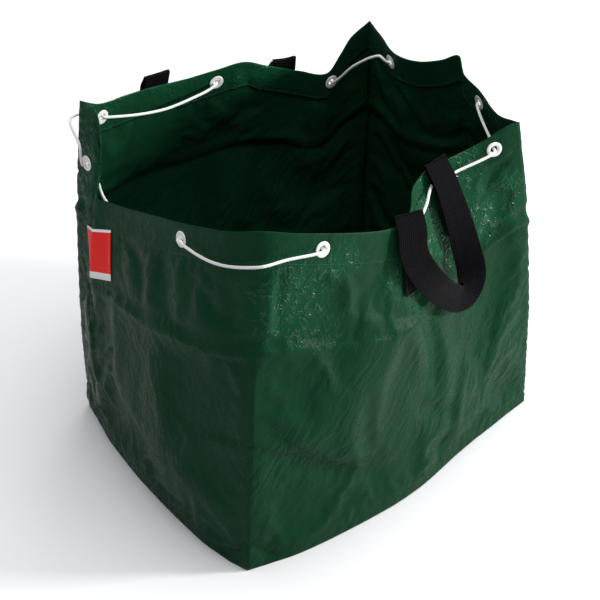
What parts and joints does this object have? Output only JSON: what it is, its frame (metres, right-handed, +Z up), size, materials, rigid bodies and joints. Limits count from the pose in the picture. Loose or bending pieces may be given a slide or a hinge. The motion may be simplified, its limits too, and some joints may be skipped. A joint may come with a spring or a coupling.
{
  "type": "garden waste bag",
  "caption": "Open-topped garden waste bag of woven plastic sheet with a hemmed rim, a drawstring through eyelets and webbing carrying handles.",
  "frame": {"origin": "on the ground under the middle of the base panel, at the underside of the base", "axes": "+Z up, +X along the long side of the base to the right as seen from the front handle, +Y from the front handle towards the back handle"},
  "size_m": [0.7198, 0.6758, 0.632],
  "materials": {
    "sheet": "satin woven plastic tape",
    "webbing": "matte woven webbing",
    "white_plastic": "moulded, slightly glossy",
    "cord": "twisted cord",
    "label": "printed label, plain"
  },
  "bodies": {
    "bag": {"base_panel": "sheet", "front_panel": "sheet", "right_panel": "sheet", "back_panel": "sheet", "left_panel": "sheet", "front_hem": "sheet", "right_hem": "sheet", "back_hem": "sheet", "left_hem": "sheet", "front_base_seam": "sheet", "right_base_seam": "sheet", "back_base_seam": "sheet", "left_base_seam": "sheet", "near_corner_seam": "sheet", "right_corner_seam": "sheet", "far_corner_seam": "sheet", "left_corner_seam": "sheet", "eyelet_01": "white_plastic", "eyelet_02": "white_plastic", "eyelet_03": "white_plastic", "eyelet_04": "white_plastic", "eyelet_05": "white_plastic", "eyelet_06": "white_plastic", "eyelet_07": "white_plastic", "eyelet_08": "white_plastic", "eyelet_09": "white_plastic", "eyelet_10": "white_plastic", "eyelet_washer_01": "white_plastic", "eyelet_washer_02": "white_plastic", "eyelet_washer_03": "white_plastic", "eyelet_washer_04": "white_plastic", "eyelet_washer_05": "white_plastic", "eyelet_washer_06": "white_plastic", "eyelet_washer_07": "white_plastic", "eyelet_washer_08": "white_plastic", "eyelet_washer_09": "white_plastic", "eyelet_washer_10": "white_plastic", "front_handle_left_tab": "webbing", "front_handle_right_tab": "webbing", "back_handle_left_tab": "webbing", "back_handle_right_tab": "webbing", "side_label": "label", "drawstring": "cord", "drawstring_knot": "cord"},
    "front_handle": {"front_handle": "webbing"},
    "back_handle": {"back_handle": "webbing"}
  },
  "joints": [
    {"name": "front_handle_swing", "type": "hinge", "parent": "bag", "child": "front_handle", "pos_m": [-0.006, -0.268, 0.56], "axis": [-0.84, -0.5307, -0.1125], "range_deg": [0, 165]},
    {"name": "back_handle_swing", "type": "hinge", "parent": "bag", "child": "back_handle", "pos_m": [0.148, 0.262, 0.553], "axis": [0.9763, -0.0255, -0.2149], "range_deg": [0, 165]}
  ]
}
